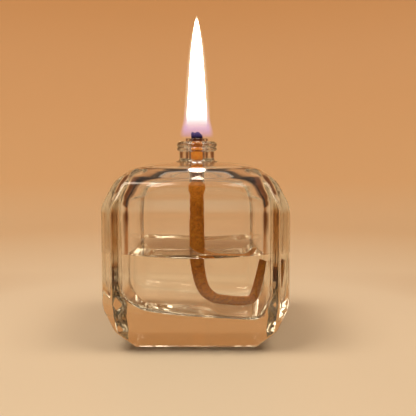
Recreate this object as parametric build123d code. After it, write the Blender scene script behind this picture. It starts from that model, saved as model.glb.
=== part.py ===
"""Bottle oil lamp: a thick faceted glass bottle, a glass wick holder, a round cotton wick, oil and a flame."""
import os
from math import cos, radians, sin, tan

from build123d import *

# Driving dimensions, in millimetres and degrees. Heights run up from the table.

# Outside of the bottle: flat walls, two rings of bevels at the top and two at the bottom
BODY_WIDTH = 76.4
CORNER_CHAMFER = 4.6
UPPER_CORNER_CHAMFER = 4.2
LOWER_CORNER_CHAMFER = 0.8
END_CORNER_CHAMFER = 0.7
WALL_BEVEL_INSET = 5.0
END_BEVEL_INSET = 7.5
BASE_BEVEL_HEIGHT = 8.4
LOWER_BEVEL_HEIGHT = 10.6
WALL_HEIGHT = 41.4
UPPER_BEVEL_HEIGHT = 11.0
TOP_BEVEL_HEIGHT = 4.3
ROOF_RISE = 2.2

# Inside of the bottle
WALL = 5.8
CAVITY_SIDE_BOW = 1.0
CAVITY_CORNER_RADIUS = 11.0
FLOOR_THICKNESS = 16.6
FLOOR_TILT = 3.8
FLOOR_RADIUS = 8.5
SHOULDER_THICKNESS = 5.2
SHOULDER_RADIUS = 11.0
CEILING_RISE = 3.6
CEILING_WIDTH = 40.0

# Neck and its beaded lip
NECK_WALL = 3.8
NECK_HEIGHT = 4.4
NECK_FLARE = 1.5
LIP_OVERHANG = 1.2
LIP_HEIGHT = 4.5
LIP_GROOVE_DEPTH = 0.5
LOWER_BEAD_SHARE = 0.42
MOUTH_RADIUS = 0.3

# Wick, and the glass tube that grips it
WICK_DIAMETER = 6.0
WICK_SQUEEZE = 0.7
WICK_GAP = 0.1
TIP_HEIGHT = 3.0
TIP_RADIUS = 1.2
TUBE_WALL = 0.85
TUBE_LENGTH = 16.2
TUBE_GAP = 0.4
TUBE_END_RADIUS = 0.35
COLLAR_OVERHANG = 0.95
COLLAR_THICKNESS = 1.3
COLLAR_EDGE_RADIUS = 0.3

# Oil
OIL_DEPTH = 22.0
OIL_GAP = 0.05

# Flame: its height, its foot and the points that draw its side, out from the axis and up from the foot
FLAME_GAP = 0.3
FLAME_HEIGHT = 53.85
FLAME_FOOT = 5.7
FLAME_MANTLE_PULLS = [(8.2, 1.6), (5.5, 4.4)]
FLAME_WAIST = (5.0, 7.2)
FLAME_BODY_PULLS = [(4.5, 10.0), (4.1, 38.0)]
FLAME_HOLLOW_GAP = 0.4

# Route of the wick below its tube: across, towards the back, and up from the middle of the cavity floor
TAIL_ROUTE = [
    (0.0, 0.0, 40.4),
    (0.0, -0.6, 26.4),
    (0.2, -2.0, 17.9),
    (1.6, -4.2, 9.9),
    (3.9, -6.3, 5.0),
    (7.6, -8.5, 2.7),
    (13.0, -9.5, 2.3),
    (19.5, -9.7, 2.0),
    (23.9, -8.5, 4.3),
    (26.6, -6.9, 9.9),
    (27.9, -5.7, 14.6),
    (28.9, -4.8, 19.2),
]
ARC_SHARE = 0.45

# Sizes that follow from those
HALF_WIDTH = BODY_WIDTH / 2
BEVEL_HALF = HALF_WIDTH - WALL_BEVEL_INSET
END_HALF = BEVEL_HALF - END_BEVEL_INSET
WALL_FOOT = BASE_BEVEL_HEIGHT + LOWER_BEVEL_HEIGHT
WALL_TOP = WALL_FOOT + WALL_HEIGHT
BEVEL_TOP = WALL_TOP + UPPER_BEVEL_HEIGHT
ROOF_EDGE = BEVEL_TOP + TOP_BEVEL_HEIGHT
ROOF_TOP = ROOF_EDGE + ROOF_RISE
LIP_FOOT = ROOF_TOP + NECK_HEIGHT
LIP_TOP = LIP_FOOT + LIP_HEIGHT

WICK_RADIUS = WICK_DIAMETER / 2
SQUEEZED_RADIUS = WICK_RADIUS - WICK_SQUEEZE / 2
TUBE_BORE_RADIUS = SQUEEZED_RADIUS + WICK_GAP
TUBE_RADIUS = TUBE_BORE_RADIUS + TUBE_WALL
NECK_BORE_RADIUS = TUBE_RADIUS + TUBE_GAP
COLLAR_RADIUS = NECK_BORE_RADIUS + COLLAR_OVERHANG
NECK_RADIUS = NECK_BORE_RADIUS + NECK_WALL
LIP_RADIUS = NECK_RADIUS + LIP_OVERHANG
TUBE_FOOT = LIP_TOP - TUBE_LENGTH
COLLAR_TOP = LIP_TOP + COLLAR_THICKNESS
TIP_TOP = COLLAR_TOP + TIP_HEIGHT
CEILING = ROOF_EDGE - SHOULDER_THICKNESS
OIL_LEVEL = FLOOR_THICKNESS + OIL_DEPTH


def octagon(half, chamfer, height):
    """The eight corners of a square with cut corners, level at a height."""
    near = half - chamfer
    corners = [
        (near, -half),
        (half, -near),
        (half, near),
        (near, half),
        (-near, half),
        (-half, near),
        (-half, -near),
        (-near, -half),
    ]
    return [Vector(x, y, height) for x, y in corners]


def flat_face(points):
    return Face(Wire.make_polygon(points, close=True))


def faceted_body():
    """The outside of the bottle: level octagons joined by flat facets."""
    roof_half = NECK_RADIUS
    rings = [
        octagon(END_HALF, END_CORNER_CHAMFER, 0),
        octagon(BEVEL_HALF, LOWER_CORNER_CHAMFER, BASE_BEVEL_HEIGHT),
        octagon(HALF_WIDTH, CORNER_CHAMFER, WALL_FOOT),
        octagon(HALF_WIDTH, CORNER_CHAMFER, WALL_TOP),
        octagon(BEVEL_HALF, UPPER_CORNER_CHAMFER, BEVEL_TOP),
        octagon(END_HALF, END_CORNER_CHAMFER, ROOF_EDGE),
        octagon(roof_half, END_CORNER_CHAMFER, ROOF_TOP),
    ]
    faces = [flat_face(rings[0]), flat_face(rings[-1])]
    for lower, upper in zip(rings, rings[1:]):
        for i in range(8):
            j = (i + 1) % 8
            faces.append(flat_face([lower[i], lower[j], upper[j], upper[i]]))
    return Solid(Shell(faces))


def neck_and_lip():
    """A round neck that flares into the roof, with a lip of two beads."""
    root = ROOF_EDGE - SHOULDER_THICKNESS / 2
    bead_join = LIP_FOOT + LIP_HEIGHT * LOWER_BEAD_SHARE
    groove = LIP_RADIUS - LIP_GROOVE_DEPTH
    flare_bend = NECK_FLARE * (1 - sin(radians(45)))
    with BuildPart() as neck:
        with BuildSketch(Plane.XZ):
            with BuildLine():
                Polyline((0, LIP_TOP), (0, root), (NECK_RADIUS + NECK_FLARE, root))
                Line((NECK_RADIUS + NECK_FLARE, root), (NECK_RADIUS + NECK_FLARE, ROOF_TOP))
                ThreePointArc(
                    (NECK_RADIUS + NECK_FLARE, ROOF_TOP),
                    (NECK_RADIUS + flare_bend, ROOF_TOP + flare_bend),
                    (NECK_RADIUS, ROOF_TOP + NECK_FLARE),
                )
                Line((NECK_RADIUS, ROOF_TOP + NECK_FLARE), (NECK_RADIUS, LIP_FOOT))
                ThreePointArc(
                    (NECK_RADIUS, LIP_FOOT),
                    (LIP_RADIUS, (LIP_FOOT + bead_join) / 2),
                    (groove, bead_join),
                )
                ThreePointArc(
                    (groove, bead_join),
                    (LIP_RADIUS, (LIP_TOP + bead_join) / 2),
                    (NECK_RADIUS, LIP_TOP),
                )
                Line((NECK_RADIUS, LIP_TOP), (0, LIP_TOP))
            make_face()
        revolve(axis=Axis.Z)
    return neck.part


def cavity(gap):
    """The hollow of the bottle: bowed walls, round corners and a floor that slopes down to the right."""
    half = HALF_WIDTH - WALL - gap
    corner = half - CAVITY_SIDE_BOW
    floor = FLOOR_THICKNESS + gap
    ceiling = CEILING - gap
    drop = half * tan(radians(FLOOR_TILT)) * 2
    with BuildPart() as hollow:
        with BuildSketch(Plane.XY.offset(floor - drop)):
            with BuildLine():
                ThreePointArc((-corner, -corner), (0, -half), (corner, -corner))
                ThreePointArc((corner, -corner), (half, 0), (corner, corner))
                ThreePointArc((corner, corner), (0, half), (-corner, corner))
                ThreePointArc((-corner, corner), (-half, 0), (-corner, -corner))
            plan = make_face()
            fillet(plan.vertices(), CAVITY_CORNER_RADIUS)
        extrude(amount=ceiling - floor + drop)
        slope = (sin(radians(FLOOR_TILT)), 0, cos(radians(FLOOR_TILT)))
        split(bisect_by=Plane(origin=(0, 0, floor), z_dir=slope), keep=Keep.TOP)
        fillet(hollow.faces().sort_by(Axis.Z)[0].edges(), FLOOR_RADIUS)
        fillet(hollow.faces().sort_by(Axis.Z)[-1].edges(), SHOULDER_RADIUS)
    return hollow.part


def neck_bore():
    """The way in through the neck: a shallow cone under the roof, a round bore and an eased mouth."""
    cone_top = CEILING + CEILING_RISE
    mouth_bend = MOUTH_RADIUS * (1 - sin(radians(45)))
    with BuildPart() as bore:
        with BuildSketch(Plane.XZ):
            with BuildLine():
                Polyline(
                    (0, LIP_TOP),
                    (0, CEILING - SHOULDER_THICKNESS),
                    (CEILING_WIDTH / 2, CEILING - SHOULDER_THICKNESS),
                    (CEILING_WIDTH / 2, CEILING),
                    (NECK_BORE_RADIUS, cone_top),
                    (NECK_BORE_RADIUS, LIP_TOP - MOUTH_RADIUS),
                )
                ThreePointArc(
                    (NECK_BORE_RADIUS, LIP_TOP - MOUTH_RADIUS),
                    (NECK_BORE_RADIUS + mouth_bend, LIP_TOP - mouth_bend),
                    (NECK_BORE_RADIUS + MOUTH_RADIUS, LIP_TOP),
                )
                Line((NECK_BORE_RADIUS + MOUTH_RADIUS, LIP_TOP), (0, LIP_TOP))
            make_face()
        revolve(axis=Axis.Z)
    return bore.part


def bottle():
    return faceted_body() + neck_and_lip() - cavity(0) - neck_bore()


def wick_holder():
    """A glass tube hung from a small round collar on the lip."""
    with BuildPart() as holder:
        with Locations((0, 0, TUBE_FOOT)):
            Cylinder(TUBE_RADIUS, COLLAR_TOP - TUBE_FOOT, align=(Align.CENTER, Align.CENTER, Align.MIN))
        with Locations((0, 0, LIP_TOP)):
            Cylinder(COLLAR_RADIUS, COLLAR_THICKNESS, align=(Align.CENTER, Align.CENTER, Align.MIN))
        with Locations((0, 0, TUBE_FOOT)):
            Cylinder(
                TUBE_BORE_RADIUS,
                COLLAR_TOP - TUBE_FOOT,
                align=(Align.CENTER, Align.CENTER, Align.MIN),
                mode=Mode.SUBTRACT,
            )
        circles = holder.edges().filter_by(GeomType.CIRCLE)
        rim = circles.filter_by_position(Axis.Z, COLLAR_TOP, COLLAR_TOP)
        foot = circles.filter_by_position(Axis.Z, TUBE_FOOT, TUBE_FOOT)
        fillet(rim, COLLAR_EDGE_RADIUS)
        fillet(foot.sort_by(SortBy.RADIUS)[-1], TUBE_END_RADIUS)
    return holder.part


def wick():
    """The stretch of wick that the tube squeezes, with its burnt tip above the collar."""
    with BuildPart() as stretch:
        with Locations((0, 0, TUBE_FOOT)):
            Cylinder(SQUEEZED_RADIUS, TIP_TOP - TUBE_FOOT, align=(Align.CENTER, Align.CENTER, Align.MIN))
        fillet(stretch.edges().filter_by(GeomType.CIRCLE).sort_by(Axis.Z)[-1], TIP_RADIUS)
    return stretch.part


def tail_points():
    floor_points = [Vector(x, y, FLOOR_THICKNESS + height) for x, y, height in TAIL_ROUTE]
    return [Vector(0, 0, TUBE_FOOT)] + floor_points


def tail_radii(points):
    """The largest arc that each corner of the route has room for."""
    radii = []
    for before, here, after in zip(points, points[1:], points[2:]):
        turn = (here - before).get_angle(after - here)
        shorter = min((here - before).length, (after - here).length)
        radii.append(ARC_SHARE * shorter / tan(radians(turn / 2)))
    return radii


def tail_tube(radius):
    """A round tube along the wick's route, and the length of that route."""
    points = tail_points()
    path = FilletPolyline(*points, radius=tail_radii(points))
    section = Plane(origin=path @ 0, z_dir=path % 0) * Circle(radius)
    return sweep(section, path=path), path.length


def lamp_oil(tail_clearance):
    """The oil that fills the lower half of the hollow, around the wick."""
    fill = split(cavity(OIL_GAP), bisect_by=Plane.XY.offset(OIL_LEVEL), keep=Keep.BOTTOM)
    return fill - tail_clearance


def flame():
    """A tall pointed flame, wide at its foot, hollow over the wick's tip."""
    foot = COLLAR_TOP + FLAME_GAP
    hollow_radius = SQUEEZED_RADIUS + FLAME_HOLLOW_GAP
    hollow_top = TIP_TOP + FLAME_HOLLOW_GAP
    mantle = [(FLAME_FOOT, 0), *FLAME_MANTLE_PULLS, FLAME_WAIST]
    body_side = [FLAME_WAIST, *FLAME_BODY_PULLS, (0, FLAME_HEIGHT)]
    with BuildPart() as body:
        with BuildSketch(Plane.XZ):
            with BuildLine():
                for side in (mantle, body_side):
                    Bezier(*[(out, foot + up) for out, up in side])
                Polyline(
                    (0, foot + FLAME_HEIGHT),
                    (0, hollow_top),
                    (hollow_radius, hollow_top),
                    (hollow_radius, foot),
                    (FLAME_FOOT, foot),
                )
            make_face()
        revolve(axis=Axis.Z)
    return body.part


def main():
    os.makedirs("parts", exist_ok=True)
    tail, tail_length = tail_tube(WICK_RADIUS)
    clearance, _ = tail_tube(WICK_RADIUS + WICK_GAP)
    nodes = {
        "bottle": bottle(),
        "lamp_oil": lamp_oil(clearance),
        "wick_holder": wick_holder(),
        "wick": wick(),
        "wick_tail": tail,
        "flame": flame(),
    }
    for name, shape in nodes.items():
        export_step(shape, f"parts/{name}.step")
    volume_share = tail.volume / (Circle(WICK_RADIUS).area * tail_length)
    print("wick tail radii", [round(radius, 1) for radius in tail_radii(tail_points())])
    print("wick tail length", round(tail_length, 1), "volume share", round(volume_share, 4))


main()
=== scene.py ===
"""The bottle oil lamp as it looks: thick cut glass, clear oil, a braided cotton wick and a lit flame."""

from math import atan2, cos, exp, floor, hypot, pi, radians, sin, sqrt, tan

import bmesh
import bpy
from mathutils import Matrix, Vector, noise


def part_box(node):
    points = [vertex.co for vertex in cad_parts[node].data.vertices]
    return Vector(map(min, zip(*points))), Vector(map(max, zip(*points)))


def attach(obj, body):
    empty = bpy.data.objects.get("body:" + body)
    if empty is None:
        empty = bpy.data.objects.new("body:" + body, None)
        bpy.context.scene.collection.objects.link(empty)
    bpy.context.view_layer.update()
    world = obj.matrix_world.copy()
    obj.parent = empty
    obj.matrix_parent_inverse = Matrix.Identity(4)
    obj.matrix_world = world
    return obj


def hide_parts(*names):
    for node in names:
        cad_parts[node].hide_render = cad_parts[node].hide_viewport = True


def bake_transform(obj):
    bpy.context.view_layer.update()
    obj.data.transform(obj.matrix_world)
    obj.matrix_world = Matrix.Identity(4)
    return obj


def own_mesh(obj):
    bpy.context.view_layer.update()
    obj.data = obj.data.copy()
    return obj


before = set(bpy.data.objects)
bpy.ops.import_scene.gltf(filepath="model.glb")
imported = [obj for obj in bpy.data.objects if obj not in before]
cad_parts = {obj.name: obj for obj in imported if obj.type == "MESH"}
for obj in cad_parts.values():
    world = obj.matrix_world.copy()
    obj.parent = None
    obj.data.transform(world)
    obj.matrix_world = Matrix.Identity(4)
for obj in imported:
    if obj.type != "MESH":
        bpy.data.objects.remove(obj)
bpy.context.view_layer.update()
MM = 0.001

# Outside of the bottle, in metres. Its corners are cut, by an amount that changes with height
BOTTLE_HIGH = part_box("bottle")[1]
HALF_WIDTH = BOTTLE_HIGH.x
BEVEL_HALF, END_HALF = HALF_WIDTH - 5.0 * MM, HALF_WIDTH - 12.5 * MM
RECESS_DEPTH = 1.1 * MM
BASE_BEVEL_TOP = 8.4 * MM
WALL_FOOT, WALL_TOP = 19.0 * MM, 60.4 * MM
BEVEL_TOP = 71.4 * MM
ROOF_EDGE, ROOF_TOP = 75.7 * MM, 77.9 * MM
WALL_CUT, END_CUT = 4.6 * MM, 0.7 * MM
CORNER_CUTS = [
    (0.0, END_CUT),
    (BASE_BEVEL_TOP, 0.8 * MM),
    (WALL_FOOT, WALL_CUT),
    (WALL_TOP, WALL_CUT),
    (BEVEL_TOP, 4.2 * MM),
    (ROOF_EDGE, END_CUT),
]
EDGE_CRISPNESS = 380
CORNER_CROWDING = 0.8
ROUND_FROM = 15.0 * MM
BODY_SIDES, BODY_TURN_STEPS, BODY_GAP = 192, 6, 1.5 * MM

# Neck and lip
LIP_TOP = BOTTLE_HIGH.z
LIP_FOOT = LIP_TOP - 4.5 * MM
NECK_RADIUS, NECK_FLARE = 7.8 * MM, 1.5 * MM
NECK_ROOT = ROOF_EDGE - 2.6 * MM
LIP_RADIUS, LIP_GROOVE = 9.0 * MM, 8.5 * MM
BEAD_JOIN = LIP_FOOT + 1.9 * MM
NECK_BORE, MOUTH_EASE = 4.0 * MM, 0.3 * MM
NECK_SIDES, BEAD_STEPS = 96, 10

# Turns of the outside, from the recess under the base to the neck: half width, height and softness
OUTSIDE_POINTS = [
    (18.0 * MM, RECESS_DEPTH, 0.0),
    (22.2 * MM, RECESS_DEPTH, 0.6 * MM),
    (23.6 * MM, 0.0, 0.6 * MM),
    (END_HALF, 0.0, 0.8 * MM),
    (BEVEL_HALF, BASE_BEVEL_TOP, 1.6 * MM),
    (HALF_WIDTH, WALL_FOOT, 2.5 * MM),
    (HALF_WIDTH, WALL_TOP, 2.5 * MM),
    (BEVEL_HALF - 0.3 * MM, BEVEL_TOP - 0.5 * MM, 2.6 * MM),
    (END_HALF, ROOF_EDGE, 1.6 * MM),
    (NECK_RADIUS - MM, ROOF_TOP + 0.1 * MM, 0.0),
]

# Inside of the bottle. Its shoulder turns at points of a half width, a height and a softness
HOLLOW_HALF = HALF_WIDTH - 5.8 * MM
HOLLOW_FLOOR, FLOOR_ROUND, FLOOR_DISH = 16.6 * MM, 8.5 * MM, 0.6 * MM
FLOOR_TILT, TILT_HEIGHT = radians(3.8), 1.6 * FLOOR_ROUND
FLOOR_RINGS = [radius * MM for radius in range(3, 22, 3)]
SHOULDER_POINTS = [
    (HOLLOW_HALF, 54.0 * MM, 0.0),
    (HOLLOW_HALF, 61.6 * MM, 2.5 * MM),
    (29.0 * MM, 69.0 * MM, 2.2 * MM),
    (21.2 * MM, 73.3 * MM, 3.0 * MM),
    (11.0 * MM, 74.6 * MM, 2.0 * MM),
    (NECK_BORE, 75.4 * MM, 0.8 * MM),
    (NECK_BORE, 77.2 * MM, 0.0),
]
SQUARENESS, SQUARE_FROM = 5.5, 33.0 * MM
WAVER, WAVER_LENGTH = 0.16 * MM, 14.0 * MM
HOLLOW_SIDES, HOLLOW_WALL_STEPS, SHOULDER_STEPS, SHOULDER_GAP = 160, 12, 7, 2.5 * MM

# Oil. Its surface stands a little over the level in the frame, and creeps up in the corners
OIL_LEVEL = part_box("lamp_oil")[1].z
OIL_WETTING = 0.12 * MM
SURFACE_STAND, CORNER_CREEP = 1.0 * MM, 1.3 * MM

# Wick holder
HOLDER_LOW, HOLDER_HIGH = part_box("wick_holder")
TUBE_FOOT, COLLAR_TOP = HOLDER_LOW.z, HOLDER_HIGH.z
COLLAR_RADIUS, TUBE_RADIUS, TUBE_BORE = HOLDER_HIGH.x, 3.6 * MM, 2.75 * MM
COLLAR_EASE, SEAT_EASE, COLLAR_FILLET = 0.3 * MM, 0.2 * MM, 0.15 * MM
TUBE_EASE, BORE_EASE = 0.35 * MM, 0.175 * MM
HOLDER_SIDES = 64

# Wick: a diamond braid, squeezed where the tube grips it
TIP_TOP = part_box("wick")[1].z
SQUEEZED_RADIUS, WICK_RADIUS = 2.65 * MM, 3.0 * MM
BRAID_STRANDS, BRAID_LAY, BRAID_SIDES = 8, 1.55 * MM, 64
STRAND_BLUNTNESS, CROSSING_BLUNTNESS, CROSSING_DIP, BRAID_MIDDLE = 0.6, 0.5, 0.45, 0.6
WICK_RELIEF, WICK_GAP = 0.16 * MM, 0.2 * MM
TAIL_RELIEF, TAIL_GAP = 0.34 * MM, 0.35 * MM
TAIL_ROUTE = [
    (0.0, 0.0, 0.0706),
    (0.0, 0.0, 0.0570),
    (0.0, -0.0006, 0.0430),
    (0.0002, -0.0020, 0.0345),
    (0.0016, -0.0042, 0.0265),
    (0.0039, -0.0063, 0.0216),
    (0.0076, -0.0085, 0.0190),
    (0.0131, -0.0095, 0.0183),
    (0.0200, -0.0097, 0.0180),
    (0.0243, -0.0092, 0.0184),
    (0.0258, -0.0086, 0.0214),
    (0.0275, -0.0080, 0.0268),
    (0.0288, -0.0074, 0.0314),
    (0.0299, -0.0070, 0.0359),
]
TAIL_LENGTH = 0.0881
TAIL_CURVE_STEPS = 24

# Free wick, by the length from the tube: it swells to its size, frays, is plump in air, thinner in the oil
# and tapers to its end
SWELL_LENGTH = 1.6 * MM
FRAY_CENTRE, FRAY_REACH, FRAY_SWELL = 4.8 * MM, 3.2 * MM, 0.9 * MM
FRAY_LIMIT, FRAY_FLATTENING = 3.92 * MM, 0.75
PLUMP_FROM, PLUMP_TO, PLUMPNESS = 8 * MM, 24 * MM, 0.11
SOAKED_FROM, SOAKED_TO, SOAKED_LOSS = 32 * MM, 38 * MM, 0.16
TAPER_FROM, TAPER_TO, TAPER_LOSS = TAIL_LENGTH - 48 * MM, TAIL_LENGTH - 22 * MM, 0.28

# Loose fibres and char, as lumps of a length and a height
FRAY_LUMPS, TAIL_LUMPS = (1.1 * MM, 0.22 * MM), (4 * MM, 0.12 * MM)
CHAR_LUMPS, CHAR_CRUMBS = (0.9 * MM, 0.34 * MM), (0.45 * MM, 0.16 * MM)

# Burnt tip: lobes and gaps that run from front to back, each at a place across with its rise and its reach,
# in millimetres
CHAR_LOBES = [
    (-2.0, 0.4, 0.6),
    (-0.95, -1.8, 0.36),
    (1.8, -1.2, 0.5),
    (2.5, -0.7, 0.5),
]
LOBE_DEPTH, LOBE_FORWARD = 4.0, 0.7
LOBES_FROM, LOBES_FULL = COLLAR_TOP + 0.6 * MM, COLLAR_TOP + 2.2 * MM
CHAR_FROM, CHAR_FULL = COLLAR_TOP - 0.2 * MM, COLLAR_TOP + 0.4 * MM
CHAR_DOME, DOME_CLOSING = 1.0 * MM, 0.995
CHAR_LIMIT, CHAR_SHRINKAGE = SQUEEZED_RADIUS + 0.05 * MM, 0.06 * MM
TUBE_SLACK, RELIEF_FADE = 0.12 * MM, 0.8 * MM

# Flame, in millimetres over its foot
FLAME_FOOT, FLAME_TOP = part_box("flame")[0].z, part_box("flame")[1].z
FLAME_RISE = (FLAME_TOP - FLAME_FOOT) / MM
FLAME_HALF, FLAME_NARROWING, FLAME_BLUNTNESS = 5.05, 0.0625, 8
MANTLE_SHARES = (1.0, 0.78, 0.56, 0.34)
MANTLE_DEPTH, MANTLE_BLUNTNESS = 1.4, 4
FLARE_DEPTH, FLARE_CENTRE, FLARE_REACH = 1.1, 1.5, 4.2
CORE_FOOT, VEIL_FOOT, VEIL_TOP = 4.9, 0.8, 12.4
VEIL_SHARE, VEIL_BLUNTNESS = 0.88, 4
FLAME_SIDES, FLAME_STEPS, FLAME_CROWDING = 48, 56, 1.1
FLAME_LEAST, FLAME_POINT = 0.02, 0.004

# Grain of the finishes, in lumps to a metre
SMEAR_GRAIN, WAVE_GRAIN = 220, 70
TONE_GRAIN, DULL_GRAIN, FUZZ_GRAIN = 900, 500, 2600
SINGE_GRAIN, CHAR_GRAIN = 700, 1400

# Stage, in metres
STAGE_FLOOR, STAGE_SWEEP, STAGE_TOP, STAGE_SIDES = 0.40, 0.30, 1.1, 96
FRONT_FROM, FRONT_FULL = 0.14, 0.0

# Light
SOFTBOX_SIZE, LIT_HEIGHT = 0.6, 0.06
SOFTBOXES = [
    ("key_softbox", (-0.44, -0.34, 0.92), 8.5, (1.0, 0.90, 0.76)),
    ("fill_softbox", (0.48, -0.32, 0.90), 6.0, (1.0, 0.88, 0.72)),
]
AIR_COLOUR, AIR_STRENGTH = (1.0, 0.90, 0.76, 1), 0.35
CLEAR_BOUNCES, MIRROR_BOUNCES, FLAME_PASSES = 48, 16, 24

# Camera
CAMERA_PLACE = (0.00501, -0.29177, 0.08519)
CAMERA_PITCH = radians(90 - 5.57)
CAMERA_LENS, SENSOR_WIDTH = 55.86, 36


# Modelling steps

def put_down():
    """Leaves edit mode with nothing selected."""
    if bpy.context.object and bpy.context.object.mode != "OBJECT":
        bpy.ops.object.mode_set(mode="OBJECT")
    bpy.ops.object.select_all(action="DESELECT")


def take_up(piece):
    """Makes one piece the selected and active one."""
    put_down()
    piece.select_set(True)
    bpy.context.view_layer.objects.active = piece


def open_up(piece):
    """Opens a piece for editing, with all of it selected."""
    take_up(piece)
    bpy.ops.object.mode_set(mode="EDIT")
    bpy.ops.mesh.select_all(action="SELECT")


def begin(name):
    """Names the primitive just added, fixes its place in its mesh and opens it for editing."""
    piece = bpy.context.object
    piece.name = piece.data.name = name
    bpy.ops.object.transform_apply(location=True, rotation=True, scale=True)
    open_up(piece)
    return piece


def pick(test):
    """Selects the faces that pass a test."""
    bpy.ops.mesh.select_mode(type="FACE")
    bpy.ops.mesh.select_all(action="DESELECT")
    mesh = bpy.context.edit_object.data
    shape = bmesh.from_edit_mesh(mesh)
    for face in shape.faces:
        face.select_set(bool(test(face)))
    shape.select_flush_mode()
    bmesh.update_edit_mesh(mesh)


def close_up():
    """Merges doubled corners, turns every face outwards and leaves edit mode."""
    bpy.ops.mesh.select_mode(type="VERT")
    bpy.ops.mesh.select_all(action="SELECT")
    bpy.ops.mesh.remove_doubles(threshold=0.001 * MM)
    bpy.ops.mesh.normals_make_consistent(inside=False)
    bpy.ops.object.mode_set(mode="OBJECT")


def apply_modifier(piece, kind, **settings):
    """Adds a modifier, sets it and applies it."""
    take_up(piece)
    modifier = piece.modifiers.new(kind.title(), kind)
    for name, value in settings.items():
        setattr(modifier, name, value)
    bpy.ops.object.modifier_apply(modifier=modifier.name)


def combine(piece, tool, operation):
    """Joins a second piece to the first, or cuts it out, and removes it."""
    apply_modifier(piece, "BOOLEAN", operation=operation, object=tool, solver="EXACT")
    bpy.data.objects.remove(tool)


def duplicate(piece, name):
    """A copy of a piece with its own mesh."""
    twin = piece.copy()
    twin.data = piece.data.copy()
    twin.name = twin.data.name = name
    bpy.context.scene.collection.objects.link(twin)
    return twin


def smooth(piece, angle):
    """Rounded shading that keeps flat facets flat."""
    take_up(piece)
    bpy.ops.object.shade_smooth_by_angle(angle=radians(angle))
    apply_modifier(piece, "WEIGHTED_NORMAL", weight=60, keep_sharp=True)


def share_of(value, low, high):
    """How far a value has come from one end of a range to the other, from 0 to 1."""
    return max(0, min(1, (value - low) / (high - low)))


def arc(centre, radius, start, end, steps):
    """Points of an arc on a turned profile, by angles in degrees from straight out."""
    turns = [radians(start + (end - start) * i / steps) for i in range(steps + 1)]
    return [(centre[0] + radius * cos(turn), centre[1] + radius * sin(turn)) for turn in turns]


def bend(start, pull, end, steps):
    """Points of a curve that leaves its start towards a pull and comes from there to its end."""
    points = []
    for i in range(steps + 1):
        t = i / steps
        points.append(tuple(
            (1 - t) ** 2 * s + 2 * t * (1 - t) * p + t * t * e for s, p, e in zip(start, pull, end)
        ))
    return points


def bow(start, middle, end, steps):
    """Points of a curve from start to end that swells out to a middle point."""
    pull = [2 * m - (s + e) / 2 for s, m, e in zip(start, middle, end)]
    return bend(start, pull, end, steps)


def straight(start, end, gap):
    """Points between two ends of a straight stretch, about a gap apart."""
    way = Vector(end) - Vector(start)
    count = int(way.length / gap)
    return [tuple(Vector(start) + way * i / (count + 1)) for i in range(1, count + 1)]


def eased(points, steps, gap):
    """A line through points of a half width, a height and a softness. Each turn is rounded
    as soft as that, and straight stretches between turns are divided about a gap apart."""
    line = [points[0][:2]]
    for before, (half, height, ease), after in zip(points, points[1:], points[2:]):
        turn = Vector((half, height))
        ends = [turn + (Vector(other[:2]) - turn).normalized() * ease for other in (before, after)]
        line += straight(line[-1], ends[0], gap) + bend(ends[0], turn, ends[1], steps)
    return line + straight(line[-1], points[-1][:2], gap) + [points[-1][:2]]


def turned(name, profile, sides, ring=False):
    """A round piece drawn up along a profile of radii and heights. A ring ends where it began."""
    put_down()
    (radius, height), *others = profile
    bpy.ops.mesh.primitive_circle_add(
        vertices=sides, radius=radius, location=(0, 0, height), fill_type="NOTHING" if ring else "NGON"
    )
    piece = begin(name)
    for next_radius, next_height in others:
        rise = next_height - height
        bpy.ops.mesh.extrude_region_move(TRANSFORM_OT_translate={"value": (0, 0, rise)})
        share = next_radius / radius
        bpy.ops.transform.resize(value=(share, share, 1), center_override=(0, 0, next_height))
        radius, height = next_radius, next_height
    close_up()
    return piece


# Bottle

def corner_cut(height):
    """How much is cut off the bottle's corners at a height."""
    for (low, first), (high, last) in zip(CORNER_CUTS, CORNER_CUTS[1:]):
        if height <= high:
            return first + (last - first) * max(0, height - low) / (high - low)
    return CORNER_CUTS[-1][1]


def crowded(place):
    """The direction of a place around the axis, drawn towards the nearest corner of the square."""
    turn = atan2(place.y, place.x)
    return turn + CORNER_CROWDING / 4 * sin(4 * turn)


def moulded_body():
    """The outside of the bottle: turned, then squared up with softly cut corners below the round neck."""
    body = turned("bottle_body", eased(OUTSIDE_POINTS, BODY_TURN_STEPS, BODY_GAP), BODY_SIDES)
    for corner in body.data.vertices:
        place = corner.co
        half, turn = hypot(place.x, place.y), crowded(place)
        across, along = abs(cos(turn)), abs(sin(turn))
        cut_side = (across + along) / (2 - corner_cut(place.z) / half)
        sides = across ** EDGE_CRISPNESS + along ** EDGE_CRISPNESS + cut_side ** EDGE_CRISPNESS
        square = share_of(half, NECK_RADIUS, ROUND_FROM)
        reach = half * (1 - square + square * sides ** (-1 / EDGE_CRISPNESS))
        place.x, place.y = reach * cos(turn), reach * sin(turn)
    return body


def neck_and_lip():
    """A round neck that flares into the roof, with a lip of two beads."""
    foot = NECK_RADIUS + NECK_FLARE
    lower_middle, upper_middle = (LIP_FOOT + BEAD_JOIN) / 2, (LIP_TOP + BEAD_JOIN) / 2
    lower_bead = ((NECK_RADIUS, LIP_FOOT), (LIP_RADIUS, lower_middle), (LIP_GROOVE, BEAD_JOIN))
    upper_bead = ((LIP_GROOVE, BEAD_JOIN), (LIP_RADIUS, upper_middle), (NECK_RADIUS, LIP_TOP))
    profile = [
        (foot, NECK_ROOT),
        *arc((foot, ROOF_TOP + NECK_FLARE), NECK_FLARE, 270, 180, 8),
        *bow(*lower_bead, BEAD_STEPS),
        *bow(*upper_bead, BEAD_STEPS)[1:],
    ]
    return turned("bottle_neck", profile, NECK_SIDES)


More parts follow.
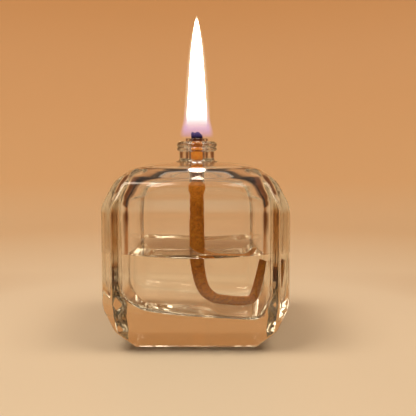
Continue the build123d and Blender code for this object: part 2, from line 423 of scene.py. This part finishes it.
def hollow():
    """All the space inside: floor, walls, sloping shoulder, round bore and eased mouth."""
    wall_foot, wall_top = HOLLOW_FLOOR + FLOOR_ROUND, SHOULDER_POINTS[0][1]
    wall_rise = wall_top - wall_foot
    wall_heights = [wall_foot + wall_rise * i / HOLLOW_WALL_STEPS for i in range(1, HOLLOW_WALL_STEPS)]
    profile = [
        *[(radius, HOLLOW_FLOOR) for radius in FLOOR_RINGS],
        *arc((HOLLOW_HALF - FLOOR_ROUND, wall_foot), FLOOR_ROUND, 270, 360, 12),
        *[(HOLLOW_HALF, height) for height in wall_heights],
        *eased(SHOULDER_POINTS, SHOULDER_STEPS, SHOULDER_GAP),
        *arc((NECK_BORE + MOUTH_EASE, LIP_TOP - MOUTH_EASE), MOUTH_EASE, 180, 90, 4),
        (NECK_BORE + MOUTH_EASE, LIP_TOP + MM),
    ]
    space = turned("bottle_inside", profile, HOLLOW_SIDES)
    for corner in space.data.vertices:
        shape_hollow(corner.co)
    return space


def shape_hollow(place):
    """Squares the round space up at its walls, lets them waver, and slopes and dishes its floor."""
    radius, turn = hypot(place.x, place.y), crowded(place)
    over_floor = place.z - HOLLOW_FLOOR
    at_walls = share_of(radius, NECK_BORE, SQUARE_FROM)
    power = 2 + (SQUARENESS - 2) * (at_walls ** 2 if place.z > WALL_TOP else 1)
    reach = radius * (abs(cos(turn)) ** power + abs(sin(turn)) ** power) ** (-1 / power)
    reach += WAVER * noise.noise(place / WAVER_LENGTH) * at_walls
    place.x, place.y = reach * cos(turn), reach * sin(turn)
    near_floor = max(0, 1 - over_floor / TILT_HEIGHT)
    dish = FLOOR_DISH * max(0, 1 - (radius / SQUARE_FROM) ** 2)
    place.z -= (place.x * tan(FLOOR_TILT) + dish) * near_floor


def make_bottle(space):
    """The body and the neck in one piece, with the space cut out."""
    body = moulded_body()
    combine(body, neck_and_lip(), "UNION")
    combine(body, duplicate(space, "inside_cut"), "DIFFERENCE")
    body.name = body.data.name = "glass_bottle"
    smooth(body, 32)
    return body


# Oil

def make_oil(space):
    """Oil that wets the walls of the hollow. Its surface is the ring of corners just under the cut,
    which the cut takes as its own, raised into the corners of the bottle."""
    oil = duplicate(space, "oil_charge")
    apply_modifier(oil, "DISPLACE", strength=OIL_WETTING, mid_level=0)
    open_up(oil)
    cut = OIL_LEVEL + SURFACE_STAND
    bpy.ops.mesh.bisect(plane_co=(0, 0, cut), plane_no=(0, 0, 1), clear_outer=True, use_fill=True)
    close_up()
    for corner in oil.data.vertices:
        place = corner.co
        share = max(0, (place.z - OIL_LEVEL) / SURFACE_STAND)
        place.z += CORNER_CREEP * share * sin(2 * atan2(place.y, place.x)) ** 4
    smooth(oil, 50)
    return oil


# Wick holder

def make_holder():
    """A glass tube hung from a small collar."""
    collar_foot = LIP_TOP
    profile = [
        (TUBE_BORE, TUBE_FOOT + BORE_EASE),
        *arc((TUBE_BORE + BORE_EASE, TUBE_FOOT + BORE_EASE), BORE_EASE, 180, 270, 4)[1:],
        *arc((TUBE_RADIUS - TUBE_EASE, TUBE_FOOT + TUBE_EASE), TUBE_EASE, 270, 360, 6),
        (TUBE_RADIUS, collar_foot - COLLAR_FILLET),
        (TUBE_RADIUS + COLLAR_FILLET, collar_foot),
        *arc((COLLAR_RADIUS - SEAT_EASE, collar_foot + SEAT_EASE), SEAT_EASE, 270, 360, 4),
        *arc((COLLAR_RADIUS - COLLAR_EASE, COLLAR_TOP - COLLAR_EASE), COLLAR_EASE, 0, 90, 6),
        *arc((TUBE_BORE + COLLAR_EASE, COLLAR_TOP - COLLAR_EASE), COLLAR_EASE, 90, 180, 6),
        (TUBE_BORE, TUBE_FOOT + BORE_EASE),
    ]
    holder = turned("glass_wick_holder", profile, HOLDER_SIDES, ring=True)
    smooth(holder, 40)
    return holder


# Wick

def cord_line(route):
    """Points along the smooth line of a route."""
    curve = bpy.data.curves.new("cord_line", "CURVE")
    curve.dimensions = "3D"
    curve.resolution_u = TAIL_CURVE_STEPS
    spline = curve.splines.new("NURBS")
    spline.points.add(len(route) - 1)
    for point, place in zip(spline.points, route):
        point.co = (*place, 1)
    spline.order_u = 3
    spline.use_endpoint_u = True
    guide = bpy.data.objects.new("cord_line", curve)
    bpy.context.scene.collection.objects.link(guide)
    bpy.context.view_layer.update()
    mesh = bpy.data.meshes.new_from_object(guide)
    points = [corner.co.copy() for corner in mesh.vertices]
    bpy.data.objects.remove(guide)
    bpy.data.meshes.remove(mesh)
    return points


def even_points(line, gap):
    """The same line with points about a gap apart, and the length so far at each."""
    lengths = [0]
    for before, after in zip(line, line[1:]):
        lengths.append(lengths[-1] + (after - before).length)
    count = round(lengths[-1] / gap)
    points, i = [], 0
    for n in range(count + 1):
        along = lengths[-1] * n / count
        while i < len(line) - 2 and lengths[i + 1] < along:
            i += 1
        stretch = lengths[i + 1] - lengths[i]
        points.append((line[i].lerp(line[i + 1], min(1, (along - lengths[i]) / stretch)), along))
    return points


def braid_height(around, along):
    """How far a diamond braid stands out, from 0 to 1, at turns around and turns of lay along."""
    left = around * BRAID_STRANDS + along
    right = around * BRAID_STRANDS - along
    over = (floor(left) + floor(right)) % 2 == 0
    across, down = (left, right) if over else (right, left)
    ridge = sin(pi * (across - floor(across))) ** STRAND_BLUNTNESS
    arch = sin(pi * (down - floor(down))) ** CROSSING_BLUNTNESS
    return ridge * (CROSSING_DIP + (1 - CROSSING_DIP) * arch)


def braided_rings(points, radius_at, relief_at):
    """Corners of a braided cord, ring by ring along its line."""
    corners = []
    side = Vector((1, 0, 0))
    for i, (place, along) in enumerate(points):
        ahead = (points[min(i + 1, len(points) - 1)][0] - points[max(i - 1, 0)][0]).normalized()
        side = (side - ahead * side.dot(ahead)).normalized()
        other = ahead.cross(side)
        for k in range(BRAID_SIDES):
            turn = 2 * pi * k / BRAID_SIDES
            out = side * cos(turn) + other * sin(turn)
            stands_out = braid_height(k / BRAID_SIDES, along / BRAID_LAY) - BRAID_MIDDLE
            corners.append(place + out * (radius_at(along, place, turn) + relief_at(along) * stands_out))
    return corners


def braided_tube(name, line, gap, radius_at, relief_at):
    """A closed braided cord along a line. Its surface map runs around it and along its lay."""
    points = even_points(line, gap)
    corners = braided_rings(points, radius_at, relief_at)
    rings = [range(i * BRAID_SIDES, (i + 1) * BRAID_SIDES) for i in range(len(points))]
    faces, ways = [], []
    for i, (lower, upper) in enumerate(zip(rings, rings[1:])):
        v0, v1 = points[i][1] / BRAID_LAY, points[i + 1][1] / BRAID_LAY
        for k in range(BRAID_SIDES):
            j = (k + 1) % BRAID_SIDES
            faces.append((lower[k], lower[j], upper[j], upper[k]))
            u0, u1 = k / BRAID_SIDES, (k + 1) / BRAID_SIDES
            ways += [(u0, v0), (u1, v0), (u1, v1), (u0, v1)]
    for ring, (place, along), way_round in ((rings[0], points[0], -1), (rings[-1], points[-1], 1)):
        corners.append(place.copy())
        for k in range(BRAID_SIDES):
            pair = (ring[k], ring[(k + 1) % BRAID_SIDES])
            faces.append((*pair[::way_round], len(corners) - 1))
            ways += [(k / BRAID_SIDES, along / BRAID_LAY)] * 3
    mesh = bpy.data.meshes.new(name)
    mesh.from_pydata(corners, [], faces)
    layer = mesh.uv_layers.new(name="Lay")
    for loop, way in zip(layer.data, ways):
        loop.uv = way
    cord = bpy.data.objects.new(name, mesh)
    bpy.context.scene.collection.objects.link(cord)
    open_up(cord)
    bpy.ops.mesh.normals_make_consistent(inside=False)
    bpy.ops.object.mode_set(mode="OBJECT")
    bpy.ops.object.shade_smooth()
    return cord


def fluff(place, length, height):
    """Uneven swelling of loose fibres, in lumps of a length and a height."""
    return height * noise.noise(place / length)


def make_tail():
    """The free wick: a frayed swelling under the tube, then a braid, plump in air and thinner in the oil."""
    line = cord_line(TAIL_ROUTE)

    def frayed(along):
        return exp(-((along - FRAY_CENTRE) / FRAY_REACH) ** 4)

    def radius_at(along, place, turn):
        swell = frayed(along)
        start = min(1, along / SWELL_LENGTH)
        body = SQUEEZED_RADIUS + (WICK_RADIUS - SQUEEZED_RADIUS) * start
        point = place + Vector((cos(turn), sin(turn), 0)) * WICK_RADIUS
        loose = fluff(point, *FRAY_LUMPS) * swell + fluff(point, *TAIL_LUMPS)
        plump = 1 + PLUMPNESS * share_of(along, PLUMP_FROM, PLUMP_TO)
        plump -= SOAKED_LOSS * share_of(along, SOAKED_FROM, SOAKED_TO)
        end = 1 - TAPER_LOSS * share_of(along, TAPER_FROM, TAPER_TO)
        return min(FRAY_LIMIT, body * plump + FRAY_SWELL * swell * start + loose * start) * end

    def relief_at(along):
        return TAIL_RELIEF * (1 - FRAY_FLATTENING * frayed(along))

    return braided_tube("cotton_wick_tail", line, TAIL_GAP, radius_at, relief_at), line


def make_wick():
    """The squeezed wick in its tube, with a lobed burnt tip."""
    line = [Vector((0, 0, height)) for height in (TUBE_FOOT, (TUBE_FOOT + TIP_TOP) / 2, TIP_TOP)]

    def radius_at(along, place, turn):
        burnt = share_of(place.z, CHAR_FROM, CHAR_FULL)
        crown = share_of(place.z, TIP_TOP - CHAR_DOME, TIP_TOP)
        point = place + Vector((cos(turn), sin(turn), 0)) * SQUEEZED_RADIUS
        lumps = fluff(point, *CHAR_LUMPS) + fluff(point, *CHAR_CRUMBS)
        body = SQUEEZED_RADIUS - TUBE_SLACK + burnt * (lumps - CHAR_SHRINKAGE)
        return min(body, CHAR_LIMIT) * sqrt(1 - DOME_CLOSING * crown ** 2)

    def relief_at(along):
        over_collar = along + TUBE_FOOT - COLLAR_TOP
        return WICK_RELIEF * (1 - share_of(over_collar, 0, RELIEF_FADE))

    wick = braided_tube("cotton_wick", line, WICK_GAP, radius_at, relief_at)
    open_up(wick)
    pick(lambda face: face.calc_center_median().z > TIP_TOP - CHAR_DOME)
    bpy.ops.mesh.subdivide(number_cuts=2)
    bpy.ops.object.mode_set(mode="OBJECT")
    for corner in wick.data.vertices:
        lift_char(corner.co)
    return wick


def lift_char(place):
    """Raises a place on the burnt tip by the lobes and gaps near it."""
    high = share_of(place.z, LOBES_FROM, LOBES_FULL)
    lift = 0
    for across, rise, reach in CHAR_LOBES:
        away = hypot(place.x / MM - across, (place.y / MM + LOBE_FORWARD) / LOBE_DEPTH) / reach
        lift += rise * exp(-away * away)
    place.z += lift * MM * high


# Flame

def flame_side(up):
    """Half width of the bright flame at a height over its foot."""
    return (FLAME_HALF - FLAME_NARROWING * up) * (1 - min(1, up / FLAME_RISE) ** FLAME_BLUNTNESS)


def mantle_side(up, share):
    """Half width of a layer of the flame's soft mantle, which flares at its foot."""
    depth = MANTLE_DEPTH + FLARE_DEPTH * exp(-((up - FLARE_CENTRE) / FLARE_REACH) ** 2)
    return flame_side(up) + share * depth * (1 - min(1, up / FLAME_RISE) ** MANTLE_BLUNTNESS)


def veil_side(up):
    """Half width of the pale cone of gas under the bright flame."""
    return VEIL_SHARE * flame_side(up) * sqrt(max(0, 1 - (up / VEIL_TOP) ** VEIL_BLUNTNESS))


def flame_layer(name, side, foot, top):
    """One closed layer of the flame between two heights over its foot."""
    profile = []
    for i in range(FLAME_STEPS):
        up = foot + (top - foot) * (i / FLAME_STEPS) ** FLAME_CROWDING
        profile.append((max(side(up), FLAME_LEAST) * MM, FLAME_FOOT + up * MM))
    profile.append((FLAME_POINT * MM, FLAME_FOOT + top * MM))
    layer = turned(name, profile, FLAME_SIDES)
    take_up(layer)
    bpy.ops.object.shade_smooth()
    return layer


def make_mantle():
    """Thin layers one inside the other, so that the mantle fades towards its edge."""
    layers = []
    for share in MANTLE_SHARES:
        layers.append(flame_layer("flame_mantle", lambda up: mantle_side(up, share), 0, FLAME_RISE))
    put_down()
    for layer in layers:
        layer.select_set(True)
    bpy.context.view_layer.objects.active = layers[0]
    bpy.ops.object.join()
    return layers[0]


# Material steps

def new_material(name):
    """A material with its node tree and its shader."""
    material = bpy.data.materials.new(name)
    material.use_nodes = True
    tree = material.node_tree
    return material, tree, tree.nodes["Principled BSDF"]


def supply(tree, socket, value):
    """Sets a socket, or links it to an output."""
    if isinstance(value, bpy.types.NodeSocket):
        tree.links.new(value, socket)
    else:
        socket.default_value = value


def feed(tree, node, **inputs):
    """Supplies a node's sockets by name. Spaces in socket names are underscores here."""
    for name, value in inputs.items():
        supply(tree, node.inputs[name.replace("_", " ")], value)


def place_of(tree):
    """A place on the piece."""
    return tree.nodes.new("ShaderNodeTexCoord").outputs["Object"]


def part_of(tree, axis):
    """One of the three parts of a place: X, Y or Z."""
    parts = tree.nodes.new("ShaderNodeSeparateXYZ")
    feed(tree, parts, Vector=place_of(tree))
    return parts.outputs[axis]


def height_of(tree):
    """Height over the table."""
    return part_of(tree, "Z")


def distance_of(tree):
    """Distance from the middle of the bottle's foot."""
    node = tree.nodes.new("ShaderNodeVectorMath")
    node.operation = "LENGTH"
    supply(tree, node.inputs[0], place_of(tree))
    return node.outputs["Value"]


def worked_out(tree, operation, *values):
    """A number worked out from others."""
    node = tree.nodes.new("ShaderNodeMath")
    node.operation = operation
    for socket, value in zip(node.inputs, values):
        supply(tree, socket, value)
    return node.outputs["Value"]


def speckle(tree, place, grain, detail=2.0):
    """Noise of so many lumps to a metre."""
    node = tree.nodes.new("ShaderNodeTexNoise")
    feed(tree, node, Vector=place, Scale=grain, Detail=detail)
    return node.outputs["Fac"]


def ramp(tree, value, stops):
    """Colours along a value, as pairs of a position and a colour."""
    node = tree.nodes.new("ShaderNodeValToRGB")
    bar = node.color_ramp
    while len(bar.elements) < len(stops):
        bar.elements.new(1)
    for element, (position, colour) in zip(bar.elements, stops):
        element.position = position
        element.color = (*colour, 1)
    feed(tree, node, Fac=value)
    return node.outputs["Color"]


def span(tree, value, low, high, out_low=0.0, out_high=1.0):
    """Maps a value from one range to another."""
    node = tree.nodes.new("ShaderNodeMapRange")
    feed(tree, node, Value=value, From_Min=low, From_Max=high, To_Min=out_low, To_Max=out_high)
    return node.outputs["Result"]


def bump(tree, height, strength, distance, under=None):
    """A surface roughened by a height, over another where one is given."""
    node = tree.nodes.new("ShaderNodeBump")
    feed(tree, node, Height=height, Strength=strength, Distance=distance)
    if under:
        feed(tree, node, Normal=under)
    return node.outputs["Normal"]


def blended(tree, kind, factor, first, second):
    """One colour mixed with another."""
    node = tree.nodes.new("ShaderNodeMix")
    node.data_type = "RGBA"
    node.blend_type = kind
    feed(tree, node, Factor=factor)
    tree.links.new(first, node.inputs["A"])
    tree.links.new(second, node.inputs["B"])
    return node.outputs["Result"]


# Glass and oil

def clear_medium(name, index, tint, density, waver):
    """Clear glass or oil that takes a little light on its way, with faint smears and a soft waver."""
    material, tree, shader = new_material(name)
    place = place_of(tree)
    smears = span(tree, speckle(tree, place, SMEAR_GRAIN), 0.5, 0.8, 0.0, 0.02)
    waves = bump(tree, speckle(tree, place, WAVE_GRAIN), waver, MM)
    feed(tree, shader, Base_Color=(1, 1, 1, 1), Transmission_Weight=1.0, IOR=index)
    feed(tree, shader, Roughness=smears, Normal=waves)
    takes = tree.nodes.new("ShaderNodeVolumeAbsorption")
    feed(tree, takes, Color=(*tint, 1), Density=density)
    tree.links.new(takes.outputs["Volume"], tree.nodes["Material Output"].inputs["Volume"])
    return material


def cut_glass():
    """Glass of the bottle, warm in its depth."""
    return clear_medium("cut_glass", index=1.52, tint=(0.78, 0.71, 0.52), density=11, waver=0.05)


def tube_glass():
    """Glass of the wick holder."""
    return clear_medium("tube_glass", index=1.52, tint=(0.76, 0.73, 0.58), density=24, waver=0.02)


def clear_oil():
    """Pale yellow lamp oil."""
    return clear_medium("lamp_oil_clear", index=1.44, tint=(0.94, 0.84, 0.60), density=7, waver=0.0)


# Cotton

def cotton(name):
    """Oil-soaked natural cotton, with painted shade between its strands, and its colour, which isn't linked
    yet.
    """
    material, tree, shader = new_material(name)
    place = place_of(tree)
    lay = tree.nodes.new("ShaderNodeUVMap")
    lay.uv_map = "Lay"
    turn = tree.nodes.new("ShaderNodeMapping")
    feed(tree, turn, Vector=lay.outputs["UV"], Rotation=(0, 0, radians(38)), Scale=(14, 2.4, 1))
    wave = tree.nodes.new("ShaderNodeTexWave")
    feed(tree, wave, Vector=turn.outputs["Vector"], Scale=2.2, Distortion=5.0, Detail=3.0)
    fibres = wave.outputs["Fac"]
    tones = ramp(tree, speckle(tree, place, TONE_GRAIN, 5.0), [
        (0.28, (0.56, 0.16, 0.010)),
        (0.52, (0.92, 0.31, 0.020)),
        (0.74, (1.00, 0.50, 0.055)),
    ])
    # Painted shade: the colour is made darker in the grooves between the strands
    painted_strand_shade = ramp(tree, fibres, [(0.2, (0.62, 0.55, 0.48)), (0.75, (1, 1, 1))])
    dullness = span(tree, speckle(tree, place, DULL_GRAIN), 0.3, 0.7, 0.72, 0.95)
    threads = bump(tree, fibres, 0.5, 0.12 * MM)
    fuzz = bump(tree, speckle(tree, place, FUZZ_GRAIN, 4.0), 0.5, 0.1 * MM, threads)
    feed(tree, shader, Roughness=dullness, Normal=fuzz)
    return material, tree, shader, blended(tree, "MULTIPLY", 0.5, tones, painted_strand_shade)


def soaked_cotton():
    """Cotton of the free wick, with a painted orange glow under the tube and along the floor that stands in
    for the flame's light.
    """
    material, tree, shader, colour = cotton("soaked_cotton")
    # Painted glow: orange emission by height, strongest under the tube and along the floor
    painted_glow = ramp(tree, span(tree, height_of(tree), 15 * MM, TUBE_FOOT), [
        (0.00, (0.075, 0.018, 0.0)),
        (0.22, (0.035, 0.007, 0.0)),
        (0.44, (0.0, 0.0, 0.0)),
        (0.70, (0.0, 0.0, 0.0)),
        (0.84, (0.12, 0.038, 0.004)),
        (0.92, (0.17, 0.055, 0.006)),
        (1.00, (0.20, 0.075, 0.015)),
    ])
    feed(tree, shader, Base_Color=colour, Emission_Color=painted_glow, Emission_Strength=1.0)
    feed(tree, shader, Sheen_Weight=0.05, Sheen_Roughness=0.5, Specular_IOR_Level=0.1)
    return material


def burnt_cotton():
    """Cotton of the gripped wick, with a painted glow of the flame's light in its tube, and charred above an
    uneven line at the collar.
    """
    material, tree, shader, colour = cotton("burnt_cotton")
    place = place_of(tree)
    singe = 1.6 * MM
    line = worked_out(tree, "MULTIPLY_ADD", speckle(tree, place, SINGE_GRAIN, 4.0), singe, height_of(tree))
    burn = span(tree, line, COLLAR_TOP - singe, COLLAR_TOP)
    char = ramp(tree, speckle(tree, place, CHAR_GRAIN, 4.0), [
        (0.35, (0.006, 0.001, 0.005)),
        (0.70, (0.026, 0.005, 0.020)),
    ])
    # Painted glow of the flame's light: bright orange low in the tube, dim just under the collar
    painted_glow = ramp(tree, span(tree, height_of(tree), TUBE_FOOT, COLLAR_TOP), [
        (0.28, (0.0, 0.0, 0.0)),
        (0.52, (0.50, 0.15, 0.018)),
        (0.74, (0.66, 0.21, 0.025)),
        (0.83, (0.10, 0.02, 0.005)),
        (0.92, (0.16, 0.04, 0.008)),
        (1.00, (0.0, 0.0, 0.0)),
    ])
    feed(tree, shader, Base_Color=blended(tree, "MIX", burn, colour, char))
    feed(tree, shader, Emission_Color=painted_glow, Emission_Strength=1.0, Specular_IOR_Level=0.08)
    return material


# Fire

def fire(name, glow, colours, coverage):
    """Burning gas: colours and coverage by the share of the flame's height."""
    material, tree, shader = new_material(name)
    share = span(tree, height_of(tree), FLAME_FOOT, FLAME_TOP)
    feed(tree, shader, Base_Color=(0, 0, 0, 1), Roughness=1.0, Specular_IOR_Level=0.0)
    feed(tree, shader, Emission_Color=ramp(tree, share, colours), Emission_Strength=glow)
    feed(tree, shader, Alpha=ramp(tree, share, [(p, (c, c, c)) for p, c in coverage]))
    return material


def flame_white():
    """The bright body of the flame, which is clear at its foot and fades at its tip."""
    colours = [
        (0.095, (0.070, 0.050, 0.045)),
        (0.126, (0.080, 0.066, 0.057)),
        (0.148, (0.092, 0.086, 0.077)),
        (0.178, (0.30, 0.27, 0.22)),
        (0.230, (1.0, 0.88, 0.70)),
        (0.945, (1.0, 0.86, 0.62)),
        (0.975, (0.11, 0.090, 0.060)),
        (1.000, (0.09, 0.065, 0.036)),
    ]
    coverage = [(0.095, 0.0), (0.142, 1.0), (0.950, 1.0), (0.995, 0.10)]
    return fire("flame_white", 12.0, colours, coverage)


def flame_rosy():
    """The pale gas round the burnt tip."""
    colours = [
        (0.00, (0.95, 0.58, 0.48)),
        (0.10, (1.0, 0.66, 0.47)),
        (0.18, (1.0, 0.78, 0.58)),
    ]
    coverage = [(0.03, 0.0), (0.065, 0.03), (0.09, 0.2), (0.13, 0.42), (0.20, 0.45)]
    return fire("flame_rosy", 1.0, colours, coverage)


def flame_lilac():
    """The mantle, lilac at its foot and warm above."""
    colours = [
        (0.00, (0.47, 0.32, 1.0)),
        (0.07, (0.58, 0.44, 1.0)),
        (0.13, (0.76, 0.57, 0.78)),
        (0.30, (0.84, 0.64, 0.42)),
    ]
    coverage = [
        (0.00, 0.0),
        (0.02, 0.014),
        (0.05, 0.028),
        (0.09, 0.046),
        (0.16, 0.048),
        (0.24, 0.055),
        (0.80, 0.055),
        (1.00, 0.03),
    ]
    return fire("flame_lilac", 1.7, colours, coverage)


def dress(piece, material):
    """Gives a piece its material."""
    piece.data.materials.clear()
    piece.data.materials.append(material)


# Pieces on their bodies

space = hollow()
bottle = make_bottle(space)
tail, tail_line = make_tail()
oil = make_oil(space)
bpy.data.objects.remove(space)
holder = make_holder()
wick = make_wick()
core = flame_layer("flame_core", flame_side, CORE_FOOT, FLAME_RISE)
veil = flame_layer("flame_veil", veil_side, VEIL_FOOT, VEIL_TOP)
mantle = make_mantle()

dress(bottle, cut_glass())
dress(holder, tube_glass())
dress(oil, clear_oil())
dress(tail, soaked_cotton())
dress(wick, burnt_cotton())
dress(core, flame_white())
dress(veil, flame_rosy())
dress(mantle, flame_lilac())

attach(bottle, "bottle")
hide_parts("bottle")
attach(oil, "bottle")
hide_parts("lamp_oil")
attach(holder, "holder")
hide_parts("wick_holder")
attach(wick, "wick")
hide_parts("wick")
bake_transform(tail)
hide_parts("wick_tail")
for shell in (core, veil, mantle):
    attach(shell, "holder")
    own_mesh(shell)
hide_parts("flame")


# Stage, light and camera

def stage_paint_and_shade():
    """Pale paint that is warmer away from the bottle, with painted shade that makes it darker up high, in
    front and at the sides.
    """
    material, tree, shader = new_material("stage_paint_and_shade")
    away = distance_of(tree)
    # Pale tones low down, then painted shade: the wall turns dark above about 0.6 m
    by_height = ramp(tree, height_of(tree), [
        (0.00, (0.84, 0.68, 0.49)),
        (0.04, (0.84, 0.60, 0.37)),
        (0.14, (0.83, 0.56, 0.32)),
        (0.30, (0.80, 0.51, 0.26)),
        (0.54, (0.75, 0.44, 0.20)),
        (0.70, (0.09, 0.05, 0.025)),
    ])
    warmer = ramp(tree, away, [(0.12, (1.0, 1.0, 1.0)), (0.38, (1.0, 0.87, 0.72))])
    # Painted shade on the floor in front of the bottle
    front_painted_shade = ramp(tree, away, [
        (0.13, (1.0, 1.0, 1.0)),
        (0.21, (0.58, 0.35, 0.18)),
        (0.48, (0.50, 0.28, 0.14)),
        (0.62, (0.06, 0.034, 0.018)),
    ])
    # Painted shade on the walls at the sides
    side_painted_shade = ramp(tree, worked_out(tree, "ABSOLUTE", part_of(tree, "X")), [
        (0.33, (1.0, 1.0, 1.0)),
        (0.44, (0.26, 0.15, 0.075)),
    ])
    in_front = span(tree, part_of(tree, "Y"), FRONT_FROM, FRONT_FULL)
    tone_and_shade = blended(tree, "MULTIPLY", 1.0, by_height, warmer)
    tone_and_shade = blended(tree, "MULTIPLY", in_front, tone_and_shade, front_painted_shade)
    tone_and_shade = blended(tree, "MULTIPLY", 1.0, tone_and_shade, side_painted_shade)
    feed(tree, shader, Base_Color=tone_and_shade, Roughness=0.5, Specular_IOR_Level=0.2)
    return material


def make_stage():
    """A pale round floor that sweeps up into a plain wall all the way round."""
    profile = [
        (4 * MM, 0),
        (STAGE_FLOOR, 0),
        *arc((STAGE_FLOOR, STAGE_SWEEP), STAGE_SWEEP, 270, 360, 16)[1:],
        (STAGE_FLOOR + STAGE_SWEEP, STAGE_TOP),
    ]
    stage = turned("stage_sweep", profile, STAGE_SIDES)
    open_up(stage)
    pick(lambda face: face.calc_center_median().z > STAGE_TOP - 10 * MM)
    bpy.ops.mesh.delete(type="ONLY_FACE")
    bpy.ops.mesh.select_all(action="SELECT")
    bpy.ops.mesh.flip_normals()
    bpy.ops.object.mode_set(mode="OBJECT")
    bpy.ops.object.shade_smooth()
    stage.data.materials.append(stage_paint_and_shade())


def add_softbox(name, place, power, colour):
    """A square soft lamp that faces the bottle."""
    lamp = bpy.data.lights.new(name, "AREA")
    lamp.size = SOFTBOX_SIZE
    lamp.energy = power
    lamp.color = colour
    box = bpy.data.objects.new(name, lamp)
    box.location = place
    aim = Vector((0, 0, LIT_HEIGHT)) - Vector(place)
    box.rotation_euler = aim.to_track_quat("-Z", "Y").to_euler()
    bpy.context.scene.collection.objects.link(box)


def make_air():
    """Even warm light from all round."""
    world = bpy.data.worlds.new("studio_air")
    world.use_nodes = True
    feed(world.node_tree, world.node_tree.nodes["Background"], Color=AIR_COLOUR, Strength=AIR_STRENGTH)
    bpy.context.scene.world = world


def add_camera():
    """The main view."""
    lens = bpy.data.cameras.new("camera")
    lens.lens = CAMERA_LENS
    lens.sensor_width = SENSOR_WIDTH
    camera = bpy.data.objects.new("camera", lens)
    camera.location = CAMERA_PLACE
    camera.rotation_euler = (CAMERA_PITCH, 0, 0)
    bpy.context.scene.collection.objects.link(camera)
    bpy.context.scene.camera = camera


make_stage()
make_air()
for softbox in SOFTBOXES:
    add_softbox(*softbox)
add_camera()
bpy.context.scene.view_settings.view_transform = "Standard"
bounces = bpy.context.scene.cycles
bounces.transparent_max_bounces = FLAME_PASSES
bounces.max_bounces = bounces.transmission_bounces = CLEAR_BOUNCES
bounces.glossy_bounces = MIRROR_BOUNCES
